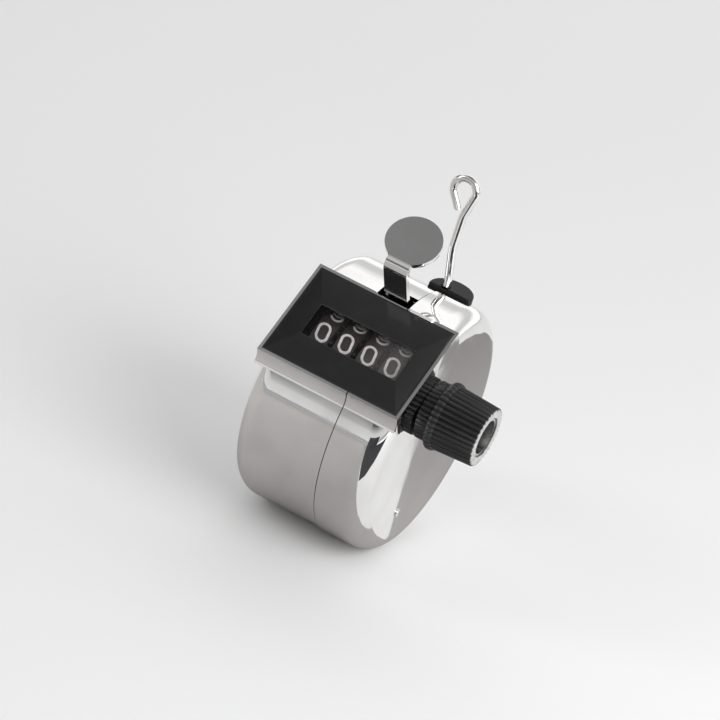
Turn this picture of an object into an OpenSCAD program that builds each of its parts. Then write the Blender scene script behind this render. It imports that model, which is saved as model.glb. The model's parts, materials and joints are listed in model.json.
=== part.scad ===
// Hand tally counter: a round drum pressed from bright sheet in two pieces, with a leaning window
// over four number wheels, a thumb lever, a ribbed reset knob and a wire loop.
// X runs along the axle towards the knob, Y to the rear and Z up. The origin is the drum's centre.
// Pieces that follow the window are drawn with the window facing straight up, then leaned forward.

/* [Drum] */
// Radius of the round drum
drum_r = 25; // [24:0.5:28]
// Radius of the rounded edges beside the flat side faces
edge_r = 4; // [3.5:0.25:4.5]
// Thickness of the pressed sheet
sheet = 0.6; // [0.4:0.05:0.8]
// Place of the seam between shell and cover, from the drum's middle
seam_x = 4.25; // [4:0.25:5]
// Step down from the cover to the shell at the seam
seam_step = 0.15; // [0.05:0.05:0.3]
// Open gap between the shell's edge and the cover's edge
seam_gap = 0.16; // [0.05:0.01:0.25]
// Length of the shell's lip inside the cover
lip_len = 1.6; // [1:0.2:3]
// Gap between the shell's lip and the cover
lip_fit = 0.03; // [0.02:0.01:0.05]
// Lean of the window from straight up, in degrees
lean = 35; // [30:1:40]

/* [Window] */
// How far the window's middle lies forward of the drum's centre, along the window
window_drop = 1.6; // [1:0.1:2]
// Radius of the flare from the drum up to the collar's lower edge
flare_r = 3; // [2:0.25:4]
// Height of the black frame round the window
bezel_h = 20; // [18:0.5:21]
// Thickness of the black frame
bezel_t = 2.4; // [2.2:0.1:2.6]
// Gap round the black frame in its collar
bezel_fit = 0.1; // [0.05:0.05:0.2]
// How far the collar's sides stand out of the flat side faces
collar_proud = 0.3; // [0.2:0.05:0.5]
// Depth of the collar's side walls below the rim
collar_depth = 5.6; // [4:0.2:7]
// Height of the clear opening
window_h = 7; // [6:0.5:8]
// Clear opening beside the outer number wheels
window_side = 0.2; // [0.1:0.1:0.6]
// Width of the flat lip round the facets
bezel_lip = 0.3; // [0.2:0.05:0.6]
// Fall of the four facets from the rim to the opening
facet_drop = 0.45; // [0.2:0.05:0.8]
// Thickness of the clear pane
pane_t = 0.8; // [0.6:0.1:0.9]
// Lap of the pane under the frame
pane_lap = 0.5; // [0.3:0.1:1]
// Depth of the pane's top below the opening's edge
pane_drop = 0.35; // [0.2:0.05:0.5]

/* [Number wheels] */
// Radius of the number rims
wheel_r = 8.6; // [8:0.1:8.8]
// Distance from one wheel to the next
wheel_pitch = 4.9; // [4.7:0.1:5.4]
// Width of a number rim
rim_w = 3.7; // [3.4:0.1:3.8]
// Radial thickness of a number rim
rim_t = 1.1; // [0.8:0.1:1.4]
// Thickness of a wheel's web
web_t = 1.2; // [0.8:0.1:2]
// Radius of a wheel's hub
hub_r = 2.7; // [2.3:0.1:3.2]
// Depth of the number rims below the collar's rim
digit_depth = 2.5; // [2.3:0.1:2.8]

/* [Gearing] */
// Teeth on a wheel's gear
gear_teeth = 20; // [20]
// Teeth on a transfer pinion
pinion_teeth = 8; // [8]
// Depth of the gear's tips below the number rim
gear_inset = 0.5; // [0.4:0.1:0.8]
// Width of a wheel's gear
gear_w = 0.6; // [0.5:0.05:0.7]
// Width of the two carry teeth
carry_w = 0.4; // [0.3:0.05:0.5]
// Gap at each side of a pinion between the rims
pinion_gap = 0.15; // [0.1:0.05:0.25]
// Radius of the pinions' shaft
pinion_shaft_r = 0.8; // [0.7:0.05:1]
// Thickness of the ratchet
ratchet_t = 1; // [0.8:0.1:1.4]
// Radius of the ratchet's tooth tips
ratchet_r = 5.4; // [5:0.1:5.6]
// Depth of the ratchet's teeth
ratchet_depth = 1; // [0.8:0.1:1.2]

/* [Axle and knob] */
// Radius of the axle
axle_r = 1.5; // [1.3:0.1:1.6]
// Gap round a running shaft
running = 0.05; // [0.03:0.01:0.08]
// Radius of the axle's collar
collar_r = 2.4; // [2.2:0.1:2.5]
// Thickness of the axle's collar and clip
collar_t = 0.6; // [0.4:0.1:0.8]
// Wall of the bush in the cover
bush_wall = 1.3; // [1:0.1:1.6]
// Gap between the cover and the knob
knob_gap = 0.35; // [0.3:0.05:0.6]
// Length of the knob
knob_len = 12.1; // [10:0.5:15]
// Radius of the knob next to the cover
knob_base_r = 5.75; // [5.5:0.05:6]
// Radius over the knob's bead
knob_bead_r = 6.75; // [6.5:0.05:7]
// Place of the bead along the knob
knob_bead_x = 3.2; // [2.5:0.1:4]
// Width of the bead
knob_bead_w = 1.8; // [1.4:0.1:2]
// Radius of the knob just past its bead
knob_grip_r = 6.3; // [6.1:0.05:6.4]
// Radius of the knob's end
knob_end_r = 5.85; // [5.5:0.05:6]
// Number of ribs round the knob
rib_count = 36; // [24:1:40]
// Depth of the grooves between the ribs
rib_depth = 0.4; // [0.3:0.05:0.5]
// Radius of the recess in the knob's end
recess_r = 3.75; // [3:0.25:4.25]
// Depth of the recess in the knob's end
recess_depth = 2.6; // [1.5:0.1:4]
// How far the axle's end stands up in the recess
axle_nub = 0.9; // [0.5:0.1:1.4]

/* [Lever] */
// Thickness of the lever's sheet
lever_t = 1; // [0.8:0.1:1.1]
// Width of the lever's strip above the slot
strip_w = 4.8; // [4:0.2:5.4]
// Middle of the strip, from the drum's middle
strip_x = 1.2; // [0.8:0.1:1.4]
// Gap between the collar and the strip
strip_gap = 0.3; // [0.3:0.05:0.6]
// Height of the thumb pad's top over the collar's rim
pad_rise = 10.6; // [9:0.2:13]
// Radius of the round thumb pad
pad_r = 5.3; // [4.5:0.1:5.5]
// Inside radius of the bend under the pad
pad_bend_r = 1; // [0.5:0.1:1.5]
// Turn of the lever when pressed, in degrees
lever_travel = 10.5; // [9:0.5:11]
// Height of the lever's arms
arm_h = 2.2; // [1.8:0.1:2.4]
// Height of the lever's cross web
web_h = 4.2; // [3.6:0.1:4.6]
// Gap beside the lever's arms
arm_gap = 0.45; // [0.4:0.05:0.7]
// Radius of the lever's pivot pin
pivot_r = 0.8; // [0.6:0.05:1]
// Wall round the pivot pin
pivot_wall = 0.9; // [0.7:0.05:1]
// Place of the pivot, forward from the window's middle, in degrees
pivot_angle = 40; // [38:0.5:42]
// Room between the slot's ends and the strip
slot_room = 0.6; // [0.4:0.1:1]
// Slot beside the strip, away from the seam
slot_side = 1.5; // [0.6:0.1:2]
// Gap between the drive pawl and the ratchet
pawl_gap = 0.55; // [0.5:0.05:0.7]
// Thickness of the leaf springs
leaf_t = 0.4; // [0.3:0.05:0.5]
// Gap between the detent spring and the ratchet
detent_gap = 0.3; // [0.25:0.05:0.5]
// Wire of the return spring
spring_wire = 0.4; // [0.3:0.05:0.45]
// Gap between the return spring's coils and the pivot pin
spring_gap = 0.3; // [0.2:0.05:0.4]

/* [Frame] */
// Thickness of the frame's plates
plate_t = 1; // [0.8:0.1:1.3]
// Radius of the frame's pillars
pillar_r = 1.2; // [1:0.1:1.4]
// Distance of the pillars in from the plates' edge
pillar_inset = 4.9; // [4.5:0.1:5.3]
// Radius of the right rivet's head
rivet_head_r = 0.8; // [0.7:0.05:1]
// Radius of a side rivet's shank
rivet_r = 0.5; // [0.4:0.05:0.6]
// Depth of a rivet's shank in its pillar
rivet_depth = 2; // [1.5:0.1:4]

/* [Wire loop] */
// Radius of the black lug
lug_r = 4.4; // [4:0.1:4.8]
// Place of the lug towards the rear
lug_y = 9.3; // [9:0.1:9.8]
// Place of the lug along the axle
lug_x = 5.7; // [5.2:0.05:6]
// Place of the loop's stem from the lug's middle
stem_shift = -1.2; // [-1.4:0.1:0]
// How far the lug stands over the drum at its flat front
lug_rise = 0.7; // [0.4:0.1:1]
// Depth of the lug from its top
lug_depth = 4.1; // [3.8:0.1:4.3]
// Radius of the loop's wire
wire_r = 0.8; // [0.7:0.05:0.9]
// Straight lower part of the loop's stem
stem_low = 5; // [4:0.2:7]
// Straight upper part of the loop's stem
stem_high = 5; // [3:0.2:7]
// Bend radius at the top of the loop's eye
eye_r = 2.3; // [2.2:0.05:2.6]
// Straight side of the eye
eye_side = 3.6; // [3.4:0.1:5]
// Straight end of the wire after the eye
eye_tail = 2.6; // [2:0.1:2.6]

/* [Hidden] */
$fn = 64;

// Colours
chrome = "gainsboro";
black = "#1c1c1e";
steel = "silver";
spring_steel = "dimgray";
brass = "#b5a26a";

// Along the axle, from the middle outwards
units_end = 1.5 * wheel_pitch + rim_w / 2;
side_gap = 0.2;
ratchet_end = units_end + ratchet_t;
collar_x = ratchet_end + side_gap;
arm_in = collar_x + collar_t + arm_gap;
arm_out = arm_in + lever_t;
plate_in = arm_out + arm_gap;
plate_out = plate_in + plate_t;
half_w = plate_out + sheet;
collar_half_w = half_w + collar_proud;
bezel_half_w = collar_half_w - sheet - bezel_fit;
window_half_w = 2 * wheel_pitch + window_side;
knob_x = half_w + knob_gap;
recess_x = knob_x + knob_len - recess_depth;

// Heights over the drum's axis, square to the window; the window's upper edge lies on the drum
rim_z = sqrt(pow(drum_r, 2) - pow(bezel_h / 2 - window_drop, 2));
bezel_z = rim_z - bezel_t;
opening_z = rim_z - facet_drop;
pane_z = opening_z - pane_drop - pane_t;
axle_z = rim_z - digit_depth - wheel_r;

// Gearing: the tooth size follows from the number rim. A tooth's height and its half width at the
// root, the pitch circle and the tip are counted in tooth sizes
addendum = 0.8;
dedendum = 1.15;
tooth_halves = [0.86, 0.6, 0.26];
tooth_size = (wheel_r - gear_inset) / (gear_teeth / 2 + addendum);
gear_r = tooth_size * gear_teeth / 2;
pinion_r = tooth_size * pinion_teeth / 2;
pinion_z = axle_z - gear_r - pinion_r;
pinion_tip_r = pinion_r + addendum * tooth_size;
carry_clear = 0.15;
carry_tip_r = gear_r + pinion_r - pinion_tip_r - carry_clear;
carry_angles = [243, 225];
ratchet_teeth = 10;
ratchet_phase = -10;

// Lever: the pivot lies in the plates' front edge, below the window, and so far round the drum that
// the return spring's coils clear the wheels
plate_r = drum_r - edge_r - side_gap;
pivot_ring_r = plate_r - pivot_r - pivot_wall;
coil_room = 0.3;
coil_reach = wheel_r + pivot_r + spring_gap + spring_wire + coil_room;
axle_ring_r = norm([window_drop, axle_z]);
clear_angle = atan2(window_drop, axle_z) + acos(
    (pow(pivot_ring_r, 2) + pow(axle_ring_r, 2) - pow(coil_reach, 2)) / (2 * pivot_ring_r * axle_ring_r)
);
pivot_turn = max(pivot_angle, clear_angle);
pivot_y = window_drop - pivot_ring_r * sin(pivot_turn);
pivot_z = pivot_ring_r * cos(pivot_turn);
collar_half_h = bezel_h / 2 + bezel_fit + sheet;
strip_y = collar_half_h + strip_gap;
strip_back = strip_y + lever_t;
web_room = 1.2;
// The pad's round outline starts this much early, so that it is a little wider than the strip there
pad_sink = 0.05;
web_top = sqrt(pow(drum_r - sheet - web_room, 2) - pow(strip_back - window_drop, 2));
arm_end_z = web_top - arm_h / 2;
arm_slope = (arm_end_z - pivot_z) / (strip_back - lever_t / 2 - pivot_y);
pad_z = rim_z + pad_rise;
slot_end = strip_back + (rim_z - pivot_z) * sin(lever_travel) + slot_room;
pawl_x0 = units_end + side_gap;
pawl_drop = 0.6;
pawl_nose = [ratchet_r + pawl_gap, axle_z - pawl_drop];
detent_angle = 215;
detent_nose_r = 0.3;

// Frame: pillars stand on a ring, the first one at the side rivets
pillar_ring_r = plate_r - pillar_inset;
pillar_angles = [214.6, 328, 169];
function on_ring(r, angle) = [r * cos(angle), r * sin(angle)];

// Lug and loop
lug_flat = 1.2;
stem_x = lug_x + stem_shift;
lug_top = sqrt(pow(drum_r, 2) - pow(lug_y - lug_flat, 2)) + lug_rise;
lug_bottom = lug_top - lug_depth;
lug_fit = 0.1;
head_r = 1.4;
head_t = 0.6;
head_gap = 0.15;
joint_swell = 0.02;
stem_bend_r = 8;
bow_angle = 11;
elbow_angle = 13;
eye_angle = 227;

// Leans a piece that was drawn with the window facing up and its middle over the origin
module leaned() {
    rotate([lean, 0, 0]) translate([0, -window_drop, 0]) children();
}

// Extrudes a side view, drawn as (Y, Z), from one place on X to another
module along_x(from, to) {
    translate([from, 0, 0]) rotate([90, 0, 90]) linear_extrude(to - from) children();
}

// Rod along X through a point of the side view
module rod(r, from, to, y = 0, z = 0) {
    translate([from, y, z]) rotate([0, 90, 0]) cylinder(h = to - from, r = r);
}

// Ring along X through a point of the side view
module ring(outer, inner, from, to, y = 0, z = 0) {
    difference() {
        rod(outer, from, to, y, z);
        rod(inner, from - 1, to + 1, y, z);
    }
}

// Flat bar between two points of the side view
module bar(from, to, t) {
    span = to - from;
    translate(from) rotate(atan2(span[1], span[0])) translate([0, -t / 2]) square([norm(span), t]);
}

// Gear outline with straight flanks; the first tooth points along phase
module gear_outline(teeth, pitch_r, phase) {
    tip_r = pitch_r + addendum * tooth_size;
    root_r = pitch_r - dedendum * tooth_size;
    radii = [root_r, pitch_r, tip_r];
    rises = [for (k = [0 : 2]) [radii[k], asin(tooth_halves[k] * tooth_size / radii[k])]];
    polygon([
        for (i = [0 : teeth - 1], k = [0 : 5])
            let (p = rises[k < 3 ? k : 5 - k], side = k < 3 ? -1 : 1)
            on_ring(p[0], phase + i * 360 / teeth + side * p[1])
    ]);
}

// Half of the drum's solid, from its middle plane to the side face, about X
module drum_half(r, w, edge) {
    rotate([0, 90, 0]) rotate_extrude() {
        square([r - edge, w]);
        square([r, w - edge]);
        translate([r - edge, w - edge]) intersection() {
            circle(edge);
            square(edge);
        }
    }
}

// Whole solid of the drum, with both rounded edges, under the window
module drum_solid(r, half, edge) {
    translate([0, window_drop, 0]) {
        drum_half(r, half, edge);
        mirror([1, 0, 0]) drum_half(r, half, edge);
    }
}

// Hollow flare between the drum and the collar's lower edge
module collar_flare(r) {
    middle_y = -collar_half_h - flare_r;
    middle_z = sqrt(pow(r + flare_r, 2) - pow(middle_y - window_drop, 2));
    foot = [window_drop, 0] + (r / (r + flare_r)) * [middle_y - window_drop, middle_z];
    along_x(-collar_half_w, collar_half_w) difference() {
        polygon([
            foot,
            [-collar_half_h, middle_z],
            [-collar_half_h + sheet, middle_z],
            foot + [sheet, -sheet]
        ]);
        translate([middle_y, middle_z]) circle(flare_r);
    }
}

// Box centred on X and Y between two heights
module block(half_x, half_y, from, to) {
    translate([-half_x, -half_y, from]) cube([2 * half_x, 2 * half_y, to - from]);
}

// Pressed drum with its window collar, hollow, before it is split at the seam
module casing(r) {
    leaned() difference() {
        union() {
            drum_solid(r, half_w, edge_r);
            block(collar_half_w, collar_half_h, rim_z - collar_depth, rim_z);
            collar_flare(r);
        }
        drum_solid(r - sheet, half_w - sheet, edge_r - sheet);
        block(bezel_half_w + bezel_fit, bezel_h / 2 + bezel_fit, rim_z - collar_depth, rim_z + drum_r);
        block(drum_r, drum_r, rim_z, rim_z + drum_r);
        rod(axle_r + running + bush_wall, 0, drum_r, 0, axle_z);
        rod(rivet_r, -drum_r, drum_r, pillar(0)[0], pillar(0)[1]);
    }
}

// Place of a pillar in the side view
function pillar(i) = [window_drop, 0] + on_ring(pillar_ring_r, pillar_angles[i]);

// Half-round block of the lug, drawn at its place
module lug_block(grow, top) {
    translate([lug_x, lug_y, 0]) intersection() {
        translate([0, 0, lug_bottom]) cylinder(h = top - lug_bottom, r = lug_r + grow);
        translate([-drum_r, -lug_flat - grow, 0]) cube([2 * drum_r, drum_r, 2 * drum_r]);
    }
}

// Slot for the lever's strip, between the collar and the seam
module lever_slot() {
    slot_x = strip_x - strip_w / 2 - slot_side;
    slot_y = collar_half_h - sheet / 2;
    leaned() translate([slot_x, slot_y, 0]) cube([drum_r, slot_end - slot_y, drum_r]);
}

// Deep shell on the left, with the lip that the cover slides over
module left_shell() {
    lip_r = drum_r - sheet - lip_fit;
    color(chrome) difference() {
        union() {
            intersection() {
                casing(drum_r - seam_step);
                translate([seam_x - seam_gap - 2 * drum_r, -2 * drum_r, -2 * drum_r])
                    cube([2, 4, 4] * drum_r);
            }
            leaned() difference() {
                ring(lip_r, lip_r - sheet, seam_x - lip_len, seam_x + lip_len, window_drop);
                block(drum_r, slot_end, 0, drum_r);
            }
        }
        lever_slot();
        lug_block(lug_fit, 2 * drum_r);
    }
}

// Shallow cover on the right, round the knob
module right_cover() {
    color(chrome) difference() {
        intersection() {
            casing(drum_r);
            translate([seam_x, -2 * drum_r, -2 * drum_r]) cube([2, 4, 4] * drum_r);
        }
        lug_block(lug_fit, 2 * drum_r);
    }
}

// Space over a facet that falls from the frame's lip to the opening
module facet_cut(from, to) {
    fall = atan2(facet_drop, from - to);
    translate([0, from, rim_z]) rotate([fall, 0, 0]) block(2 * drum_r, 2 * drum_r, 0, drum_r);
}

// Black frame with four facets that fall to the opening
module window_bezel() {
    lip_half_w = bezel_half_w - bezel_lip;
    lip_half_h = bezel_h / 2 - bezel_lip;
    color(black) leaned() difference() {
        block(bezel_half_w, bezel_h / 2, bezel_z, rim_z);
        intersection() {
            facet_cut(lip_half_h, window_h / 2);
            rotate(180) facet_cut(lip_half_h, window_h / 2);
            rotate(90) facet_cut(lip_half_w, window_half_w);
            rotate(270) facet_cut(lip_half_w, window_half_w);
        }
        block(window_half_w, window_h / 2, 0, rim_z + 1);
        block(window_half_w + pane_lap, window_h / 2 + pane_lap, 0, pane_z + pane_t);
    }
}

// Clear pane under the opening
module window_pane() {
    color("lightblue", 0.3) leaned()
        block(window_half_w + pane_lap, window_h / 2 + pane_lap, pane_z, pane_z + pane_t);
}

// Side plate of the frame, drawn on the right; axle_hole is the hole round the axle
module plate(axle_hole) {
    difference() {
        along_x(plate_in, plate_out) intersection() {
            translate([window_drop, 0]) circle(plate_r);
            translate([-drum_r, -drum_r]) square([2 * drum_r, drum_r + bezel_z]);
        }
        rod(axle_hole, 0, drum_r, 0, axle_z);
        rod(pinion_shaft_r, 0, drum_r, 0, pinion_z);
        rod(pivot_r, 0, drum_r, pivot_y, pivot_z);
        rod(rivet_r, 0, drum_r, pillar(0)[0], pillar(0)[1]);
    }
}

module left_plate() {
    color(steel) leaned() mirror([1, 0, 0]) plate(axle_r + running);
}

module right_plate() {
    color(steel) leaned() plate(axle_r + running + bush_wall);
}

// Three pillars between the plates
module frame_pillars() {
    color(steel) leaned() difference() {
        for (i = [0 : 2]) rod(pillar_r, -plate_in, plate_in, pillar(i)[0], pillar(i)[1]);
        for (side = [0, 1]) mirror([side, 0, 0])
            rod(rivet_r, plate_in - rivet_depth, drum_r, pillar(0)[0], pillar(0)[1]);
    }
}

// Rivet at each side, through shell and plate into the lowest pillar; the left one is flush, so that
// the left face lies flat
module side_rivets() {
    color(chrome) leaned() {
        for (side = [0, 1]) mirror([side, 0, 0])
            rod(rivet_r, plate_in - rivet_depth, half_w, pillar(0)[0], pillar(0)[1]);
        rod(rivet_head_r, half_w, half_w + sheet / 2, pillar(0)[0], pillar(0)[1]);
    }
}

// Axle through all wheels and the knob, with a collar beside the ratchet
module wheel_axle() {
    color(steel) leaned() {
        rod(axle_r, -plate_out, recess_x + axle_nub, 0, axle_z);
        rod(collar_r, collar_x, collar_x + collar_t, 0, axle_z);
    }
}

// Bush that carries the axle in the right plate and the cover
module axle_bush() {
    color(brass) leaned()
        ring(axle_r + running + bush_wall, axle_r + running, plate_in, half_w, 0, axle_z);
}

// Clip on the axle beside the left wheel
module axle_clip() {
    color(spring_steel) leaned()
        ring(collar_r, axle_r, -units_end - side_gap - collar_t, -units_end - side_gap, 0, axle_z);
}

// Outline of the knob, lowered all round by drop, as a solid about X
module knob_form(drop) {
    bead_low = knob_bead_x - knob_bead_w / 2;
    bead_high = knob_bead_x + knob_bead_w / 2;
    translate([knob_x, 0, axle_z]) rotate([0, 90, 0]) rotate_extrude() polygon([
        [0, 0],
        [knob_base_r - drop, 0],
        [knob_base_r - drop, bead_low],
        [knob_bead_r - drop, knob_bead_x - knob_bead_w / 4],
        [knob_bead_r - drop, knob_bead_x + knob_bead_w / 4],
        [knob_grip_r - drop, bead_high],
        [knob_end_r - drop, knob_len],
        [0, knob_len]
    ]);
}

// Ribbed reset knob with a recess in its end
module reset_knob() {
    rib_share = 0.55;
    rib_angle = 360 / rib_count;
    color(black) leaned() difference() {
        union() {
            knob_form(rib_depth);
            intersection() {
                knob_form(0);
                translate([0, 0, axle_z]) along_x(knob_x, knob_x + knob_len) for (i = [0 : rib_count - 1])
                    polygon([
                        [0, 0],
                        on_ring(2 * knob_bead_r, (i - rib_share / 2) * rib_angle),
                        on_ring(2 * knob_bead_r, (i + rib_share / 2) * rib_angle)
                    ]);
            }
        }
        rod(axle_r, 0, 2 * drum_r, 0, axle_z);
        rod(recess_r, recess_x, 2 * drum_r, 0, axle_z);
    }
}

// Middle of a wheel along X, counted from the thousands
function wheel_x(place) = (place - 1.5) * wheel_pitch;

// Number wheel; a gear on its right takes the carry and two teeth on its left give it
module number_wheel(place, takes_carry, gives_carry) {
    x = wheel_x(place);
    left = x - rim_w / 2;
    right = x + rim_w / 2;
    gear_root_r = gear_r - dedendum * tooth_size;
    leaned() difference() {
        union() {
            ring(wheel_r, wheel_r - rim_t, left, right, 0, axle_z);
            rod(wheel_r - rim_t / 2, x - web_t / 2, x + web_t / 2, 0, axle_z);
            rod(hub_r, left, right, 0, axle_z);
            if (takes_carry) translate([0, 0, axle_z]) along_x(x, right + gear_w) difference() {
                gear_outline(gear_teeth, gear_r, 270 + 180 / gear_teeth);
                circle(gear_root_r - rim_t);
            }
            if (gives_carry) translate([0, 0, axle_z]) along_x(left - carry_w, x) {
                difference() {
                    circle(carry_tip_r - tooth_size);
                    circle(carry_tip_r - tooth_size - rim_t);
                }
                for (angle = carry_angles) {
                    foot = on_ring(carry_tip_r - tooth_size - rim_t / 2, angle);
                    bar(foot, on_ring(carry_tip_r, angle), tooth_size);
                }
            }
        }
        rod(axle_r + running, left - 1, right + 1, 0, axle_z);
    }
}

module thousands_wheel() {
    color(black) number_wheel(0, true, false);
}

module hundreds_wheel() {
    color(black) number_wheel(1, true, true);
}

module tens_wheel() {
    color(black) number_wheel(2, true, true);
}

module units_wheel() {
    color(black) number_wheel(3, false, true);
}

// Ratchet on the units wheel's right side
module ratchet_wheel() {
    step = 360 / ratchet_teeth;
    color(steel) leaned() difference() {
        translate([0, 0, axle_z]) along_x(units_end, ratchet_end) polygon([
            for (i = [0 : ratchet_teeth - 1], k = [0, 1])
                on_ring(ratchet_r - (1 - k) * ratchet_depth, ratchet_phase + (i + k) * step)
        ]);
        rod(axle_r + running, 0, drum_r, 0, axle_z);
    }
}

// Transfer pinion at the right of a wheel, in mesh with that wheel's gear
module transfer_pinion(place) {
    left = wheel_x(place) + rim_w / 2 + pinion_gap;
    right = wheel_x(place + 1) - rim_w / 2 - pinion_gap;
    leaned() difference() {
        translate([0, 0, pinion_z]) along_x(left, right) gear_outline(pinion_teeth, pinion_r, 90);
        rod(pinion_shaft_r + running, left - 1, right + 1, 0, pinion_z);
    }
}

module thousands_pinion() {
    color(brass) transfer_pinion(0);
}

module hundreds_pinion() {
    color(brass) transfer_pinion(1);
}

module tens_pinion() {
    color(brass) transfer_pinion(2);
}

module pinion_shaft() {
    color(steel) leaned() rod(pinion_shaft_r, -plate_out, plate_out, 0, pinion_z);
}

// Thumb lever of one bent sheet: two arms, a web behind the wheels, a strip and a round pad
module thumb_lever() {
    bend_y = strip_back + pad_bend_r;
    pad_y = bend_y + sqrt(pow(pad_r, 2) - pow(strip_w / 2, 2)) - pad_sink;
    bend_z = pad_z - lever_t - pad_bend_r;
    color(chrome) leaned() {
        for (side = [0, 1]) mirror([side, 0, 0]) difference() {
            along_x(arm_in, arm_out) {
                translate([pivot_y, pivot_z]) circle(pivot_r + pivot_wall);
                bar([pivot_y, pivot_z], [strip_back - lever_t / 2, arm_end_z], arm_h);
            }
            rod(pivot_r + running, arm_in - 1, arm_out + 1, pivot_y, pivot_z);
        }
        translate([-arm_out, strip_y, web_top - web_h]) cube([2 * arm_out, lever_t, web_h]);
        translate([strip_x - strip_w / 2, strip_y, web_top - lever_t])
            cube([strip_w, lever_t, bend_z - web_top + lever_t]);
        along_x(strip_x - strip_w / 2, strip_x + strip_w / 2) translate([bend_y, bend_z]) intersection() {
            difference() {
                union() {
                    circle(lever_t + pad_bend_r);
                    square([pad_bend_r, lever_t + pad_bend_r]);
                }
                circle(pad_bend_r);
                square([2 * pad_bend_r, pad_bend_r]);
            }
            translate([-2 * drum_r, 0]) square([2 * drum_r + pad_bend_r, 2 * drum_r]);
        }
        translate([strip_x, pad_y, pad_z - lever_t]) intersection() {
            cylinder(h = lever_t, r = pad_r);
            translate([-drum_r, bend_y - pad_y, 0]) cube([2 * drum_r, drum_r, lever_t]);
        }
    }
}

// Pin that the lever turns on, held in both plates
module lever_pin() {
    color(steel) leaned() rod(pivot_r, -plate_out, plate_out, pivot_y, pivot_z);
}

// Sprung steel finger on the lever's web that drives the ratchet round
module drive_pawl() {
    foot = [strip_y - leaf_t, web_top - web_h / 2];
    color(spring_steel) leaned() along_x(pawl_x0, ratchet_end) {
        translate([strip_y - leaf_t, web_top - web_h]) square([leaf_t, web_h]);
        polygon([
            foot + [leaf_t, 0],
            foot,
            pawl_nose + [2 * leaf_t, 3 * leaf_t],
            pawl_nose,
            pawl_nose + [leaf_t, -leaf_t],
            pawl_nose + [4 * leaf_t, 2 * leaf_t],
            foot + [leaf_t, -3 * leaf_t]
        ]);
    }
}

// Path of the return spring: a leg behind the front pillar, coils round the pin and a leg under the
// right arm
spring_r = pivot_r + spring_gap + spring_wire / 2;
to_pillar = pillar(2) - [pivot_y, pivot_z];
leg_offset = spring_r - pillar_r - spring_wire / 2 - side_gap;
spring_start = atan2(to_pillar[1], to_pillar[0]) + acos(leg_offset / norm(to_pillar));
spring_turn = 4 * 360 + 270 - spring_start;
spring_w = 4.2;
spring_x1 = arm_in - 3 * spring_wire;
spring_x0 = spring_x1 - spring_w;
spring_steps = 58;
spring_leg = norm(to_pillar);
hook_from = 4.2;
hook_to = 6;
function spring_coil(angle, x) = [x, pivot_y + spring_r * cos(angle), pivot_z + spring_r * sin(angle)];
function under_arm(reach) = [
    arm_in + lever_t / 2,
    pivot_y + reach,
    pivot_z + reach * arm_slope - arm_h / 2 * norm([1, arm_slope]) - spring_wire / 2 - side_gap
];
spring_path = concat(
    [spring_coil(spring_start, spring_x0) + spring_leg * [0, sin(spring_start), -cos(spring_start)]],
    [for (i = [0 : spring_steps])
        let (share = i / spring_steps)
        spring_coil(spring_start + share * spring_turn, spring_x0 + share * (spring_x1 - spring_x0))],
    [[arm_in - spring_wire, pivot_y + hook_from / 2, pivot_z - spring_r]],
    [under_arm(hook_from), under_arm(hook_to)]
);

// Round tube along a path that never runs along X
module tube(path, r, sides) {
    last = len(path) - 1;
    unit = function (v) v / norm(v);
    corners = [
        for (i = [0 : last])
            let (
                ahead = unit(path[min(i + 1, last)] - path[max(i - 1, 0)]),
                across = unit(cross(ahead, [1, 0, 0])),
                up = cross(ahead, across)
            )
            for (k = [0 : sides - 1])
                let (round = on_ring(r, k * 360 / sides))
                path[i] + round[0] * across + round[1] * up
    ];
    walls = [
        for (i = [0 : last - 1], k = [0 : sides - 1])
            let (a = i * sides + k, b = i * sides + (k + 1) % sides)
            each [[a, a + sides, b], [b, a + sides, b + sides]]
    ];
    ends = [
        for (k = [1 : sides - 2])
            each [[0, k, k + 1], [last * sides, last * sides + k + 1, last * sides + k]]
    ];
    polyhedron(corners, concat(walls, ends));
}

module return_spring() {
    color(spring_steel) leaned() tube(spring_path, spring_wire / 2, 6);
}

// Leaf spring that holds the ratchet, wrapped round the front pillar
module detent_spring() {
    wrap = pillar(2);
    nose = [0, axle_z] + on_ring(ratchet_r + detent_gap + detent_nose_r, detent_angle);
    color(spring_steel) leaned() along_x(pawl_x0, ratchet_end) difference() {
        union() {
            translate(wrap) circle(pillar_r + leaf_t);
            bar(wrap, nose, leaf_t);
            translate(nose) circle(detent_nose_r);
        }
        translate(wrap) circle(pillar_r);
    }
}

// Black half-round lug in a notch across the seam, bored for the loop's stem
module loop_lug() {
    color(black) difference() {
        lug_block(0, lug_top);
        translate([stem_x, lug_y, 0]) cylinder(h = 2 * drum_r, r = wire_r + running);
    }
}

// Straight run of the loop's wire; what follows stands on its end
module run(length) {
    cylinder(h = length, r = wire_r);
    translate([0, 0, length]) sphere(wire_r + joint_swell);
    translate([0, 0, length]) children();
}

// Bend of the loop's wire towards +X, or towards -X for a negative angle; what follows stands on its
// end
module bend(r, angle) {
    side = sign(angle);
    mirror([side < 0 ? 1 : 0, 0, 0]) translate([r, 0, 0])
        rotate([90, 0, 0]) rotate([0, 0, 180 - abs(angle)])
        rotate_extrude(angle = abs(angle)) translate([r, 0]) circle(wire_r);
    translate([side * r, 0, 0]) rotate([0, angle, 0]) translate([-side * r, 0, 0]) children();
}

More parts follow.
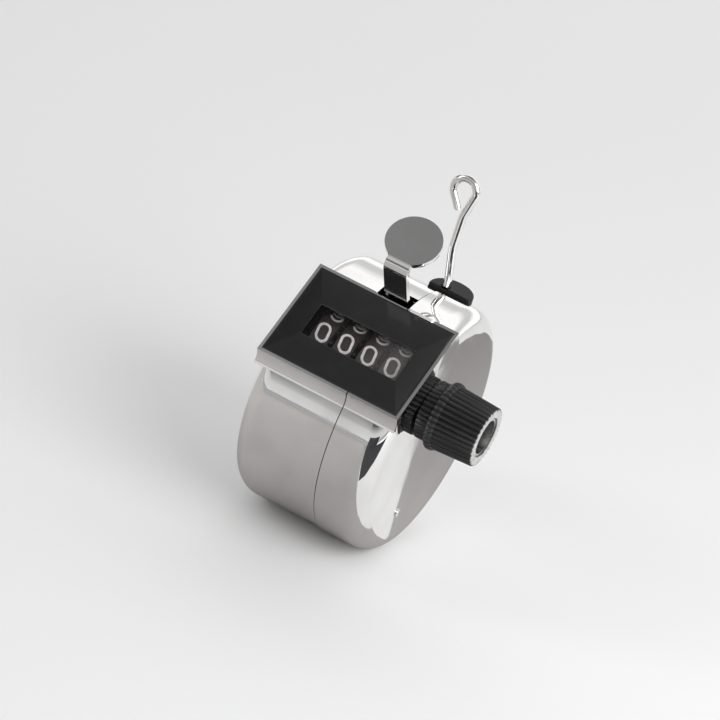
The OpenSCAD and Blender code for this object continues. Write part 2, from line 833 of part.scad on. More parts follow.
// Wire loop: a headed stem in the lug, bowed to one side, and a teardrop eye
module wire_loop() {
    foot = lug_bottom - head_gap - head_t;
    color(chrome) translate([stem_x, lug_y, foot]) {
        cylinder(h = head_t, r = head_r);
        run(lug_top - foot + wire_r / 2) bend(stem_bend_r, -bow_angle)
            run(stem_low) bend(stem_bend_r, bow_angle)
            run(stem_high) bend(stem_bend_r, elbow_angle)
            run(eye_side) bend(eye_r, -eye_angle)
            run(eye_tail) sphere(wire_r);
    }
}

left_shell();
right_cover();
window_bezel();
window_pane();
left_plate();
right_plate();
frame_pillars();
side_rivets();
wheel_axle();
axle_bush();
axle_clip();
reset_knob();
thousands_wheel();
hundreds_wheel();
tens_wheel();
units_wheel();
ratchet_wheel();
thousands_pinion();
hundreds_pinion();
tens_pinion();
pinion_shaft();
thumb_lever();
lever_pin();
drive_pawl();
return_spring();
detent_spring();
loop_lug();
wire_loop();
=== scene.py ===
"""Looks of a hand tally counter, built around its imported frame.

Lengths are metres in the frame's own axes: X along the axle towards the knob, Y to the rear, Z up.
Pieces that follow the window are modelled with the window facing straight up, then leaned forward.
"""

from __future__ import annotations

import json
import logging
import math
from collections.abc import Callable
from dataclasses import dataclass, field
from enum import Enum

import bpy
from bpy.types import Material, Modifier, Node, NodeSocket, Object
from mathutils import Matrix, Vector

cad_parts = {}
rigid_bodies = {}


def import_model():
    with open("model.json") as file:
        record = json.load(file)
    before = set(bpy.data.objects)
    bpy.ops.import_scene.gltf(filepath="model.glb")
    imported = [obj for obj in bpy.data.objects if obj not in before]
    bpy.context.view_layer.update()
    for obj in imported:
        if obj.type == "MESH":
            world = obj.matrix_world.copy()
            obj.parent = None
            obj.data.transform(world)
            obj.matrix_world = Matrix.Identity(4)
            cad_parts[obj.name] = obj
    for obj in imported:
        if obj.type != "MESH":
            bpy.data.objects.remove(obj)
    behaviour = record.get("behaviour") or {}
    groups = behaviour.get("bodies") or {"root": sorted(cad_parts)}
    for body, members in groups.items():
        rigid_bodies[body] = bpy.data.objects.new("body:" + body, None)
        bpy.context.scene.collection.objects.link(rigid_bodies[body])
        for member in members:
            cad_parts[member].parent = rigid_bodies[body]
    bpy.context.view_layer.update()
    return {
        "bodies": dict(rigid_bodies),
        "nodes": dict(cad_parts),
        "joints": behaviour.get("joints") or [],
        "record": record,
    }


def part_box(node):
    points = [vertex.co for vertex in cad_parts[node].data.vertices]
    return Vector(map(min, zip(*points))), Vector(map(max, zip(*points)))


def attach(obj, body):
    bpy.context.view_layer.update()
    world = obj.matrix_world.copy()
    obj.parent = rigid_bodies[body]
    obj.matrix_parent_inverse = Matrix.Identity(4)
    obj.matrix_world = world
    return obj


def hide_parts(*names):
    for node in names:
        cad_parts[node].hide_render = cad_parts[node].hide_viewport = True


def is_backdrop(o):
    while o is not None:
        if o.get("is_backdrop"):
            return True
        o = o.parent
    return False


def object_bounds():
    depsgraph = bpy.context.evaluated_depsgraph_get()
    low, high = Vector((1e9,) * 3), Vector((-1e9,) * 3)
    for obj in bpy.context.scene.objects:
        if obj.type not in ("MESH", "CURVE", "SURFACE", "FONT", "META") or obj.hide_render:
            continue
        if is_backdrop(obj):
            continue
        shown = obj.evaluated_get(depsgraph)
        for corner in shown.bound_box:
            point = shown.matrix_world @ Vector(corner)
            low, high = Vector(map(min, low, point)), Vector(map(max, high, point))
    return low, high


LOG = logging.getLogger("tally_counter")
MM = 0.001
WELD = 0.002 * MM
FLAT_DEGREES = 0.5

Colour = tuple[float, float, float]
Triple = tuple[float, float, float]
Pair = tuple[float, float]


class Body(Enum):
    """Rigid bodies of the counter that pieces ride on."""

    HOUSING = "housing"
    RESET = "reset"
    UNITS = "units"
    TENS = "tens"
    HUNDREDS = "hundreds"
    THOUSANDS = "thousands"
    LEVER = "lever"
    LOOP = "loop"


class Slot(Enum):
    """Material slots of the record."""

    CHROME_SHELL = "chrome_shell"
    LEVER_CHROME = "lever_chrome"
    GLOSS_BLACK = "gloss_black"
    RIBBED_BLACK = "ribbed_black"
    CLEAR_PANE = "clear_pane"
    FRAME_STEEL = "frame_steel"
    AXLE_STEEL = "axle_steel"
    SPRING_STEEL = "spring_steel"
    BRASS = "brass"
    WHEEL_BLACK = "wheel_black"


@dataclass(frozen=True)
class Leaning:
    """The window's lean, read from the wheels' axle and the pinion shaft square below it.

    Args:
        angle: lean of the window from straight up, in radians
        axle: place of the wheels' axle with the window facing straight up
    """

    angle: float
    axle: Vector

    @classmethod
    def from_frame(cls, frame: dict) -> Leaning:
        """Work the lean out from the joints of the knob and of a pinion.


        Returns:
            The lean and the axle's place
        """
        places = {joint["name"]: Vector(joint["pos_m"]) for joint in frame["joints"]}
        upwards = places["knob_turn"] - places["tens_pinion_spin"]
        angle = math.atan2(-upwards.y, upwards.z)
        return cls(angle, Matrix.Rotation(-angle, 3, "X") @ places["knob_turn"])

    @property
    def matrix(self) -> Matrix:
        """Turn from window-up to the leaning frame."""
        return Matrix.Rotation(self.angle, 4, "X")

    def box(self, node: str, frame: dict) -> tuple[Vector, Vector]:
        """Box of a node with the window facing straight up.

        Args:
            node: name of the node

        Returns:
            Lowest and highest corner
        """
        upright = self.matrix.inverted()
        points = [upright @ v.co for v in frame["nodes"][node].data.vertices]
        low = Vector(tuple(min(p[k] for p in points) for k in range(3)))
        high = Vector(tuple(max(p[k] for p in points) for k in range(3)))
        return low, high


class Bench:
    """Hand tools: each one drives the operators that shape a single piece."""

    @staticmethod
    def link(piece: Object) -> Object:
        """Put a new object in the scene."""
        bpy.context.scene.collection.objects.link(piece)
        return piece

    @staticmethod
    def take(piece: Object) -> None:
        """Select one piece alone and make it active.

        Args:
            piece: the piece
        """
        if bpy.context.object and bpy.context.object.mode != "OBJECT":
            bpy.ops.object.mode_set(mode="OBJECT")
        bpy.ops.object.select_all(action="DESELECT")
        piece.select_set(True)
        bpy.context.view_layer.objects.active = piece

    @staticmethod
    def edit(piece: Object, pick: str = "SELECT") -> None:
        """Open a piece in edit mode with all or nothing picked.

        Args:
            piece: the piece
            pick: action of the selection, SELECT or DESELECT
        """
        Bench.take(piece)
        bpy.ops.object.mode_set(mode="EDIT")
        bpy.ops.mesh.select_all(action=pick)

    @staticmethod
    def close() -> None:
        """Leave edit mode."""
        bpy.ops.object.mode_set(mode="OBJECT")

    @staticmethod
    def name(piece: Object, name: str) -> Object:
        """Name a piece and its mesh alike.

        Args:
            piece: the piece
            name: its name

        Returns:
            The same piece
        """
        piece.name = name
        piece.data.name = name
        return piece

    @staticmethod
    def apply(piece: Object, modifier: Modifier) -> None:
        """Apply one modifier of a piece."""
        Bench.take(piece)
        bpy.ops.object.modifier_apply(modifier=modifier.name)

    @staticmethod
    def fair_copy(node: Object, name: str) -> Object:
        """Copy a CAD node's mesh into a new piece, welded and with its flat faces whole.

        Args:
            node: the CAD node's object
            name: name of the new piece

        Returns:
            The new piece
        """
        piece = Bench.name(Bench.link(bpy.data.objects.new(name, node.data.copy())), name)
        piece.data.materials.clear()
        Bench.edit(piece)
        bpy.ops.mesh.customdata_custom_splitnormals_clear()
        bpy.ops.mesh.remove_doubles(threshold=WELD)
        bpy.ops.mesh.dissolve_limited(angle_limit=math.radians(FLAT_DEGREES))
        Bench.close()
        return piece

    @staticmethod
    def soften(piece: Object, width: float, angle: float = 40, steps: int = 3) -> None:
        """Round every sharp edge of a piece and shade it smooth, with its flats left flat.

        Args:
            piece: the piece
            width: width of the rounding
            angle: edges that turn by more than this many degrees are rounded
            steps: faces across a rounding
        """
        bevel = piece.modifiers.new("soft edges", "BEVEL")
        bevel.width = width
        bevel.segments = steps
        bevel.limit_method = "ANGLE"
        bevel.angle_limit = math.radians(angle)
        Bench.apply(piece, bevel)
        Bench.smooth(piece)
        even = piece.modifiers.new("even faces", "WEIGHTED_NORMAL")
        even.keep_sharp = True
        Bench.apply(piece, even)

    @staticmethod
    def smooth(piece: Object, angle: float = 30) -> None:
        """Shade a piece smooth, apart from edges sharper than an angle in degrees."""
        Bench.take(piece)
        bpy.ops.object.shade_smooth_by_angle(angle=math.radians(angle))

    @staticmethod
    def heal(piece: Object) -> None:
        """Weld a drawn-out piece and point its faces outwards.

        Args:
            piece: the piece
        """
        Bench.edit(piece)
        bpy.ops.mesh.remove_doubles(threshold=WELD)
        bpy.ops.mesh.normals_make_consistent(inside=False)
        Bench.close()

    @staticmethod
    def extrude(move: Vector | Triple) -> None:
        """Extrude what is picked and move it."""
        bpy.ops.mesh.extrude_region_move(TRANSFORM_OT_translate={"value": move})

    @staticmethod
    def widen(share: float, level: float) -> None:
        """Scale what is picked in X and Y about the Z axis at a level."""
        bpy.ops.transform.resize(value=(share, share, 1), center_override=(0, 0, level))

    @staticmethod
    def pick_verts(piece: Object, test: Callable[[Vector], bool]) -> None:
        """Pick the vertices of a piece in edit mode that pass a test, and what lies between them.

        Args:
            piece: the piece
            test: test of a vertex's place
        """
        bpy.ops.object.mode_set(mode="OBJECT")
        for vert in piece.data.vertices:
            vert.select = bool(test(vert.co))
        for edge in piece.data.edges:
            edge.select = all(piece.data.vertices[i].select for i in edge.vertices)
        for face in piece.data.polygons:
            face.select = all(piece.data.vertices[i].select for i in face.vertices)
        bpy.ops.object.mode_set(mode="EDIT")

    @staticmethod
    def join(pieces: list[Object], name: str) -> Object:
        """Join pieces into the first one and name it.

        Args:
            pieces: the pieces
            name: name of the joined piece

        Returns:
            The joined piece
        """
        Bench.take(pieces[0])
        for piece in pieces:
            piece.select_set(True)
        bpy.ops.object.join()
        return Bench.name(pieces[0], name)


def seat(
    piece: Object,
    body: Body,
    finish: Material,
    replaced: tuple[str, ...] = (),
) -> None:
    """Dress a piece, let it ride on its body and hide the nodes that it stands for.

    Args:
        piece: the finished piece
        body: body that it rides on
        finish: its material
        replaced: nodes that it stands for
    """
    piece.data.materials.clear()
    piece.data.materials.append(finish)
    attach(piece, body.value)
    if replaced:
        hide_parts(*replaced)
    LOG.info("%s rides on %s, %d faces", piece.name, body.value, len(piece.data.polygons))


class NodeBoard:
    """Shader nodes of one material, laid out in code."""

    def __init__(self, name: str) -> None:
        """Start a material that holds one Principled shader.

        Args:
            name: name of the material
        """
        self.material = bpy.data.materials.new(name)
        self.material.use_nodes = True
        self.tree = self.material.node_tree
        self.shader = self.tree.nodes["Principled BSDF"]
        self.place = self.add("ShaderNodeTexCoord").outputs["Object"]

    def add(self, kind: str, **settings: object) -> Node:
        """Add a node and set its options.

        Args:
            kind: type of the node
            settings: its options by name

        Returns:
            The node
        """
        node = self.tree.nodes.new(kind)
        for key, value in settings.items():
            setattr(node, key, value)
        return node

    def link(self, source: NodeSocket, target: NodeSocket) -> None:
        """Link two sockets."""
        self.tree.links.new(source, target)

    def set(self, **values: object) -> None:
        """Set sockets of the shader; underscores stand for spaces."""
        for key, value in values.items():
            self.shader.inputs[key.replace("_", " ")].default_value = value

    def stretched(self, scale: Triple) -> NodeSocket:
        """Object coordinates scaled by axis.

        Args:
            scale: scale along X, Y and Z

        Returns:
            The scaled coordinates
        """
        mapping = self.add("ShaderNodeMapping")
        mapping.inputs["Scale"].default_value = scale
        self.link(self.place, mapping.inputs["Vector"])
        return mapping.outputs["Vector"]

    def noise(
        self, scale: float, detail: float, place: NodeSocket | None = None
    ) -> NodeSocket:
        """Noise of so many waves a metre.

        Args:
            scale: waves a metre
            detail: octaves
            place: coordinates, or None for Object coordinates

        Returns:
            The noise's value
        """
        node = self.add("ShaderNodeTexNoise")
        node.inputs["Scale"].default_value = scale
        node.inputs["Detail"].default_value = detail
        self.link(place or self.place, node.inputs["Vector"])
        return node.outputs["Fac"]

    def spread(self, value: NodeSocket, source: Pair, target: Pair = (0, 1)) -> NodeSocket:
        """Map a value from one range to another, clamped.

        Args:
            value: the value
            source: range that it comes in
            target: range that it goes out in

        Returns:
            The mapped value
        """
        node = self.add("ShaderNodeMapRange")
        for key, end in zip(("From Min", "From Max", "To Min", "To Max"), (*source, *target)):
            node.inputs[key].default_value = end
        self.link(value, node.inputs["Value"])
        return node.outputs["Result"]

    def blend(
        self, share: NodeSocket, first: Colour | NodeSocket, second: Colour | NodeSocket
    ) -> NodeSocket:
        """Mix two colours by a share.

        Args:
            share: share of the second colour
            first: a colour or a socket that gives one
            second: a colour or a socket that gives one

        Returns:
            The mixed colour
        """
        node = self.add("ShaderNodeMix", data_type="RGBA")
        sockets = [socket for socket in node.inputs if socket.type == "RGBA"]
        for socket, colour in zip(sockets, (first, second)):
            if isinstance(colour, tuple):
                socket.default_value = (*colour, 1.0)
            else:
                self.link(colour, socket)
        self.link(share, node.inputs["Factor"])
        return next(socket for socket in node.outputs if socket.type == "RGBA")

    def along_x(self, place: NodeSocket | None = None) -> NodeSocket:
        """Place along X.

        Args:
            place: coordinates, or None for Object coordinates

        Returns:
            The X of the coordinates
        """
        split = self.add("ShaderNodeSeparateXYZ")
        self.link(place or self.place, split.inputs["Vector"])
        return split.outputs["X"]

    def distance_along_x(self, level: float) -> NodeSocket:
        """Distance along X from a level.

        Args:
            level: the level's X

        Returns:
            The distance, never negative
        """
        off = self.add("ShaderNodeMath", operation="SUBTRACT")
        off.inputs[1].default_value = level
        self.link(self.along_x(), off.inputs[0])
        size = self.add("ShaderNodeMath", operation="ABSOLUTE")
        self.link(off.outputs["Value"], size.inputs[0])
        return size.outputs["Value"]

    def bump(self, height: NodeSocket, depth: float) -> None:
        """Raise the surface by a height map.

        Args:
            height: height from 0 to 1
            depth: depth of the map
        """
        node = self.add("ShaderNodeBump")
        node.inputs["Distance"].default_value = depth
        self.link(height, node.inputs["Height"])
        self.link(node.outputs["Normal"], self.shader.inputs["Normal"])

    def rough(self, value: NodeSocket) -> None:
        """Drive the shader's roughness."""
        self.link(value, self.shader.inputs["Roughness"])

    def colour(self, value: NodeSocket) -> None:
        """Drive the shader's base colour."""
        self.link(value, self.shader.inputs["Base Color"])


@dataclass(frozen=True)
class PlatedSheet:
    """Bright plating on pressed sheet: mirror polish, faint waviness and handling smudges."""

    name: str = "bright_plating"
    tint: Colour = (0.86, 0.855, 0.85)
    smudge_tint: Colour = (0.80, 0.785, 0.775)
    polish: Pair = (0.035, 0.13)
    smudge_scale: float = 120.0
    smudge_detail: float = 6.0
    smudge_span: Pair = (0.45, 0.7)
    dull_span: Pair = (0.45, 0.75)
    wave_scale: float = 260.0
    wave_detail: float = 2.0
    wave_depth: float = 0.006 * MM
    seam: float | None = None
    seam_half: float = 0.13 * MM
    seam_core: float = 0.6
    seam_dirt: Colour = (0.02, 0.018, 0.018)

    def material(self) -> Material:
        """Build the plating, with a painted shade line along its seam if it has one.

        Returns:
            The material
        """
        board = NodeBoard(self.name)
        board.set(Metallic=1.0)
        smudge = board.noise(self.smudge_scale, self.smudge_detail)
        tone = board.blend(board.spread(smudge, self.smudge_span), self.tint, self.smudge_tint)
        if self.seam is not None:
            # painted shade: a dark line along the seam between shell and cover
            off = board.distance_along_x(self.seam)
            seam_shade_mask = board.spread(off, (self.seam_core * self.seam_half, self.seam_half), (1, 0))
            tone = board.blend(seam_shade_mask, tone, self.seam_dirt)
        board.colour(tone)
        board.rough(board.spread(smudge, self.dull_span, self.polish))
        board.bump(board.noise(self.wave_scale, self.wave_detail), self.wave_depth)
        return board.material


@dataclass(frozen=True)
class MouldedBlack:
    """Black moulded plastic with a fine grain and faint dust."""

    name: str
    colour: Colour = (0.012, 0.011, 0.012)
    dust: Colour = (0.03, 0.028, 0.028)
    sheen: Pair = (0.16, 0.3)
    specular: float = 0.5
    dust_scale: float = 300.0
    dust_detail: float = 8.0
    dust_span: Pair = (0.5, 0.75)
    dull_span: Pair = (0.35, 0.7)
    grain_scale: float = 2500.0
    grain_detail: float = 3.0
    grain_depth: float = 0.003 * MM

    def material(self) -> Material:
        """Build the plastic.

        Returns:
            The material
        """
        board = NodeBoard(self.name)
        board.set(Specular_IOR_Level=self.specular)
        dust = board.noise(self.dust_scale, self.dust_detail)
        board.colour(board.blend(board.spread(dust, self.dust_span), self.colour, self.dust))
        board.rough(board.spread(dust, self.dull_span, self.sheen))
        board.bump(board.noise(self.grain_scale, self.grain_detail), self.grain_depth)
        return board.material


@dataclass(frozen=True)
class WornKnob:
    """Satin black knob whose end face is painted pale, as wear and as a painted highlight, with a
    fainter painted highlight on its rib crests.

    Args:
        end: X of the end face
        axle: a point on the knob's axis, at X 0
        crest: radius over the ribs
    """

    end: float
    axle: Vector
    crest: float
    name: str = "ribbed_knob_black"
    colour: Colour = (0.014, 0.014, 0.015)
    crest_colour: Colour = (0.024, 0.024, 0.025)
    end_colour: Colour = (0.52, 0.52, 0.51)
    crest_share: float = 0.965
    rubbed_depth: float = 0.35 * MM
    rubbed_fade: float = 0.5
    wear_scale: float = 900.0
    wear_detail: float = 6.0
    wear_span: Pair = (0.3, 0.7)
    sheen: Pair = (0.3, 0.48)
    grain_scale: float = 3000.0
    grain_detail: float = 2.0
    grain_depth: float = 0.004 * MM

    def material(self) -> Material:
        """Build the knob's finish from the distance to its end and to its axis.

        Returns:
            The material
        """
        board = NodeBoard(self.name)
        wear = board.noise(self.wear_scale, self.wear_detail)
        centred = board.add("ShaderNodeVectorMath", operation="SUBTRACT")
        centred.inputs[1].default_value = self.axle
        board.link(board.place, centred.inputs[0])
        flat = board.add("ShaderNodeVectorMath", operation="MULTIPLY")
        flat.inputs[1].default_value = (0, 1, 1)
        board.link(centred.outputs["Vector"], flat.inputs[0])
        radius = board.add("ShaderNodeVectorMath", operation="LENGTH")
        board.link(flat.outputs["Vector"], radius.inputs[0])
        wobble = board.add("ShaderNodeMath", operation="MULTIPLY_ADD")
        wobble.inputs[1].default_value = self.rubbed_depth
        board.link(wear, wobble.inputs[0])
        board.link(board.along_x(centred.outputs["Vector"]), wobble.inputs[2])
        # painted highlight: paler colour towards the rib crests
        crest_highlight = board.spread(radius.outputs["Value"], (self.crest_share * self.crest, self.crest))
        body = board.blend(crest_highlight, self.colour, self.crest_colour)
        # painted highlight on the end face, for the light that the flat end catches and for wear,
        # its edge mottled by the wear noise
        end_highlight_full = self.end + self.rubbed_fade * self.rubbed_depth
        end_highlight = board.spread(wobble.outputs["Value"], (self.end, end_highlight_full))
        board.colour(board.blend(end_highlight, body, self.end_colour))
        board.rough(board.spread(wear, self.wear_span, self.sheen))
        board.bump(board.noise(self.grain_scale, self.grain_detail), self.grain_depth)
        return board.material


@dataclass(frozen=True)
class ClearPane:
    """Clear plastic pane with a faint haze, a painted reflection that grows towards the knob, and
    fine wiping marks.
    """

    name: str = "clear_pane"
    tint: Colour = (0.62, 0.58, 0.58)
    index: float = 1.49
    haze: Pair = (0.008, 0.075)
    haze_span: Pair = (1.0 * MM, 9.0 * MM)
    wipe_scale: float = 60.0
    wipe_detail: float = 3.0
    wipe_lay: Triple = (1.0, 0.25, 0.25)
    wipe_span: Pair = (0.3, 0.7)
    polish: Pair = (0.03, 0.08)

    def material(self) -> Material:
        """Build the pane; its pale haze, painted as a reflection, grows towards the knob.

        Returns:
            The material
        """
        board = NodeBoard(self.name)
        board.set(Base_Color=(*self.tint, 1), IOR=self.index)
        wiped = board.noise(self.wipe_scale, self.wipe_detail, board.stretched(self.wipe_lay))
        # painted reflection: the pale pane grows more opaque towards the knob
        haze = board.spread(board.along_x(), self.haze_span, self.haze)
        board.link(haze, board.shader.inputs["Alpha"])
        board.rough(board.spread(wiped, self.wipe_span, self.polish))
        return board.material


@dataclass(frozen=True)
class BareMetal:
    """Bare metal with a lay of fine lines across one axis."""

    name: str
    tint: Colour
    stain: Colour
    lay: Triple = (1.0, 1.0, 1.0)
    polish: Pair = (0.2, 0.38)
    line_scale: float = 1500.0
    line_span: Pair = (0.3, 0.7)
    line_depth: float = 0.004 * MM
    stain_scale: float = 180.0
    stain_span: Pair = (0.4, 0.7)
    detail: float = 5.0

    def material(self) -> Material:
        """Build the metal.

        Returns:
            The material
        """
        board = NodeBoard(self.name)
        board.set(Metallic=1.0)
        lines = board.noise(self.line_scale, self.detail, board.stretched(self.lay))
        stain = board.noise(self.stain_scale, self.detail)
        board.colour(board.blend(board.spread(stain, self.stain_span), self.tint, self.stain))
        board.rough(board.spread(lines, self.line_span, self.polish))
        board.bump(lines, self.line_depth)
        return board.material


@dataclass(frozen=True)
class NumberPaint:
    """Pale paint of the numbers, thin and a little uneven."""

    name: str = "number_paint"
    colour: Colour = (0.72, 0.66, 0.66)
    thin: Colour = (0.55, 0.48, 0.48)
    wear_scale: float = 1400.0
    wear_detail: float = 4.0
    wear_span: Pair = (0.45, 0.7)
    dull_span: Pair = (0.3, 0.7)
    sheen: Pair = (0.45, 0.62)
    depth: float = 0.004 * MM

    def material(self) -> Material:
        """Build the paint.

        Returns:
            The material
        """
        board = NodeBoard(self.name)
        wear = board.noise(self.wear_scale, self.wear_detail)
        board.colour(board.blend(board.spread(wear, self.wear_span), self.colour, self.thin))
        board.rough(board.spread(wear, self.dull_span, self.sheen))
        board.bump(wear, self.depth)
        return board.material


@dataclass
class Casing:
    """Pressed drum: deep shell, cover, their rivets and the black lug."""

    edge: float = 0.16 * MM
    edge_angle: float = 35
    edge_steps: int = 2
    lug_edge: float = 0.35 * MM
    lug_angle: float = 50
    rivet_edge: float = 0.12 * MM
    seam_gap: float = 0.16 * MM

    @classmethod
    def seam_place(cls) -> float:
        """Middle of the seam along X, just short of where the cover starts."""
        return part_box("right_cover")[0].x - cls.seam_gap / 2

    def build(self, frame: dict, plating: Material, black: Material) -> None:
        """Model and dress the casing.

        Args:
            plating: bright plating
            black: satin black moulding
        """
        for node, name in (("left_shell", "drum_shell"), ("right_cover", "drum_cover")):
            piece = Bench.fair_copy(frame["nodes"][node], name)
            Bench.soften(piece, self.edge, self.edge_angle, self.edge_steps)
            seat(piece, Body.HOUSING, plating, (node,))
        rivets = Bench.fair_copy(frame["nodes"]["side_rivets"], "rivet_heads")
        Bench.soften(rivets, self.rivet_edge)
        seat(rivets, Body.HOUSING, plating, ("side_rivets",))
        lug = Bench.fair_copy(frame["nodes"]["loop_lug"], "half_round_lug")
        Bench.soften(lug, self.lug_edge, self.lug_angle)
        seat(lug, Body.HOUSING, black, ("loop_lug",))


@dataclass
class Window:
    """Black frame with mitred facets and the clear pane behind it."""

    edge: float = 0.14 * MM
    edge_angle: float = 30
    mitre_angle: float = 1.2
    pane_edge: float = 0.1 * MM

    def build(self, frame: dict, gloss: Material, clear: Material) -> None:
        """Model and dress the window.

        Args:
            gloss: polished black
            clear: clear plastic
        """
        bezel = Bench.fair_copy(frame["nodes"]["window_bezel"], "window_frame")
        Bench.soften(bezel, self.edge, self.edge_angle)
        Bench.smooth(bezel, self.mitre_angle)
        seat(bezel, Body.HOUSING, gloss, ("window_bezel",))
        pane = Bench.fair_copy(frame["nodes"]["window_pane"], "clear_window")
        Bench.soften(pane, self.pane_edge, self.edge_angle)
        seat(pane, Body.HOUSING, clear, ("window_pane",))


@dataclass
class NumberTrain:
    """Painted numbers round the four wheels; a nought faces the window on each."""

    height: float = 4.1 * MM
    width: float = 2.75 * MM
    stroke: float = 0.5 * MM
    slant: float = -0.18
    relief: float = 0.05 * MM
    rest_turn: float = 2.4
    cuts: int = 9
    count: int = 10
    nought_points: int = 64
    still: float = 0.01 * MM
    cut_margin: float = 1.1

    @property
    def drawn(self) -> float:
        """How far a half of the nought's ring is drawn out from the middle."""
        return (self.height - self.width) / 2

    def ring(self) -> Object:
        """Model a drawn-out flat ring and leave it open in edit mode.

        Returns:
            A ring in X and Y
        """
        radius = self.width / 2
        bpy.ops.mesh.primitive_circle_add(vertices=self.nought_points, radius=radius)
        ring = bpy.context.object
        Bench.edit(ring)
        bpy.ops.mesh.extrude_region_move()
        Bench.widen((radius - self.stroke) / radius, 0)
        for side in (1, -1):
            Bench.pick_verts(ring, lambda co, side=side: side * co.y > self.still)
            bpy.ops.transform.translate(value=(0, side * self.drawn, 0))
        return ring

    def raise_flat(self) -> None:
        """Give the open flat numeral its relief and close it."""
        bpy.ops.mesh.select_all(action="SELECT")
        Bench.extrude((0, 0, self.relief))
        bpy.ops.mesh.select_all(action="SELECT")
        bpy.ops.mesh.normals_make_consistent(inside=False)
        Bench.close()

    def nine(self, turn: float = 0.0) -> Object:
        """Model a nine with a round bowl and a cup below it, or a six if it is turned by half.

        Args:
            turn: turn of the whole numeral, in radians

        Returns:
            A flat numeral in X and Y, centred
        """
        piece = self.ring()
        side = self.cut_margin * self.stroke - self.width / 2
        step = self.cut_margin * math.pi * self.width / self.nought_points
        Bench.pick_verts(piece, lambda co: co.y < -self.drawn)
        bpy.ops.mesh.duplicate_move(TRANSFORM_OT_translate={"value": (0, 2 * self.drawn, 0)})
        Bench.pick_verts(piece, lambda co: co.x < side and abs(co.y) < self.still)
        bpy.ops.mesh.delete(type="VERT")
        Bench.pick_verts(piece, lambda co: co.x < side and abs(co.y - self.drawn) < step)
        bpy.ops.mesh.edge_face_add()
        self.raise_flat()
        piece.data.transform(Matrix.Rotation(turn, 4, "Z"))
        return piece

    def numeral(self, digit: int) -> Object:
        """Model one of the other numbers from plain text, at the nought's size.

        Args:
            digit: any but nought, six and nine

        Returns:
            A flat numeral in X and Y, centred
        """
        bpy.ops.object.text_add()
        text = bpy.context.object
        text.data.body = str(digit)
        text.data.size = self.height
        text.data.extrude = self.relief / 2
        Bench.take(text)
        bpy.ops.object.convert(target="MESH")
        piece = bpy.context.object
        low = Vector(piece.bound_box[0])
        high = Vector(piece.bound_box[6])
        middle = (low + high) / 2
        tall = self.height / (high.y - low.y)
        wide = min(tall, self.width / (high.x - low.x))
        piece.data.transform(Matrix.Diagonal((wide, tall, 1, 1)) @ Matrix.Translation(-middle))
        return piece

    def number(self, digit: int) -> Object:
        """Model one number: nought, six and nine from a ring, the others from text.

        Args:
            digit: the number

        Returns:
            A flat numeral in X and Y, centred
        """
        if digit in (6, 9):
            return self.nine(math.pi if digit == 6 else 0.0)
        if digit:
            return self.numeral(digit)
        nought = self.ring()
        self.raise_flat()
        return nought

    def wrap(self, piece: Object, radius: float) -> None:
        """Slant a flat numeral and bend it round a wheel at the origin, facing up.

        Args:
            piece: flat numeral
            radius: radius of the number rim
        """
        Bench.edit(piece)
        for k in range(1, self.cuts + 1):
            level = self.height * (k / (self.cuts + 1) - 0.5)
            bpy.ops.mesh.select_all(action="SELECT")
            bpy.ops.mesh.bisect(plane_co=(0, level, 0), plane_no=(0, 1, 0))
        bpy.ops.mesh.select_all(action="SELECT")
        bpy.ops.mesh.remove_doubles(threshold=WELD)
        Bench.close()
        base = min(v.co.z for v in piece.data.vertices)
        for vert in piece.data.vertices:
            x, y, z = vert.co
            far = radius + z - base
            turn = y / radius
            vert.co = (x + self.slant * y, far * math.sin(turn), far * math.cos(turn))

    def build(self, frame: dict, lean: Leaning, paint: Material) -> None:
        """Model each number once and set copies of all ten round every wheel.

        Args:
            lean: the window's lean
            paint: number paint
        """
        low, high = lean.box("units_wheel", frame)
        radius = (high.y - low.y) / 2
        masters = [self.number(digit) for digit in range(self.count)]
        for master in masters:
            self.wrap(master, radius)
        wheels = (Body.THOUSANDS, Body.HUNDREDS, Body.TENS, Body.UNITS)
        step = 2 * math.pi / self.count
        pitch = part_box("tens_wheel")[0].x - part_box("hundreds_wheel")[0].x
        for place, body in enumerate(wheels):
            middle = (place - (len(wheels) - 1) / 2) * pitch
            seated = lean.matrix @ Matrix.Translation((middle, lean.axle.y, lean.axle.z))
            numbers = []
            for digit, master in enumerate(masters):
                name = f"{body.value}_{digit}"
                copy = Bench.link(bpy.data.objects.new(name, master.data.copy()))
                turn = digit * step + math.radians(self.rest_turn)
                copy.data.transform(seated @ Matrix.Rotation(turn, 4, "X"))
                numbers.append(copy)
            piece = Bench.join(numbers, f"{body.value}_numbers")
            Bench.smooth(piece)
            seat(piece, body, paint)
        for master in masters:
            bpy.data.objects.remove(master)


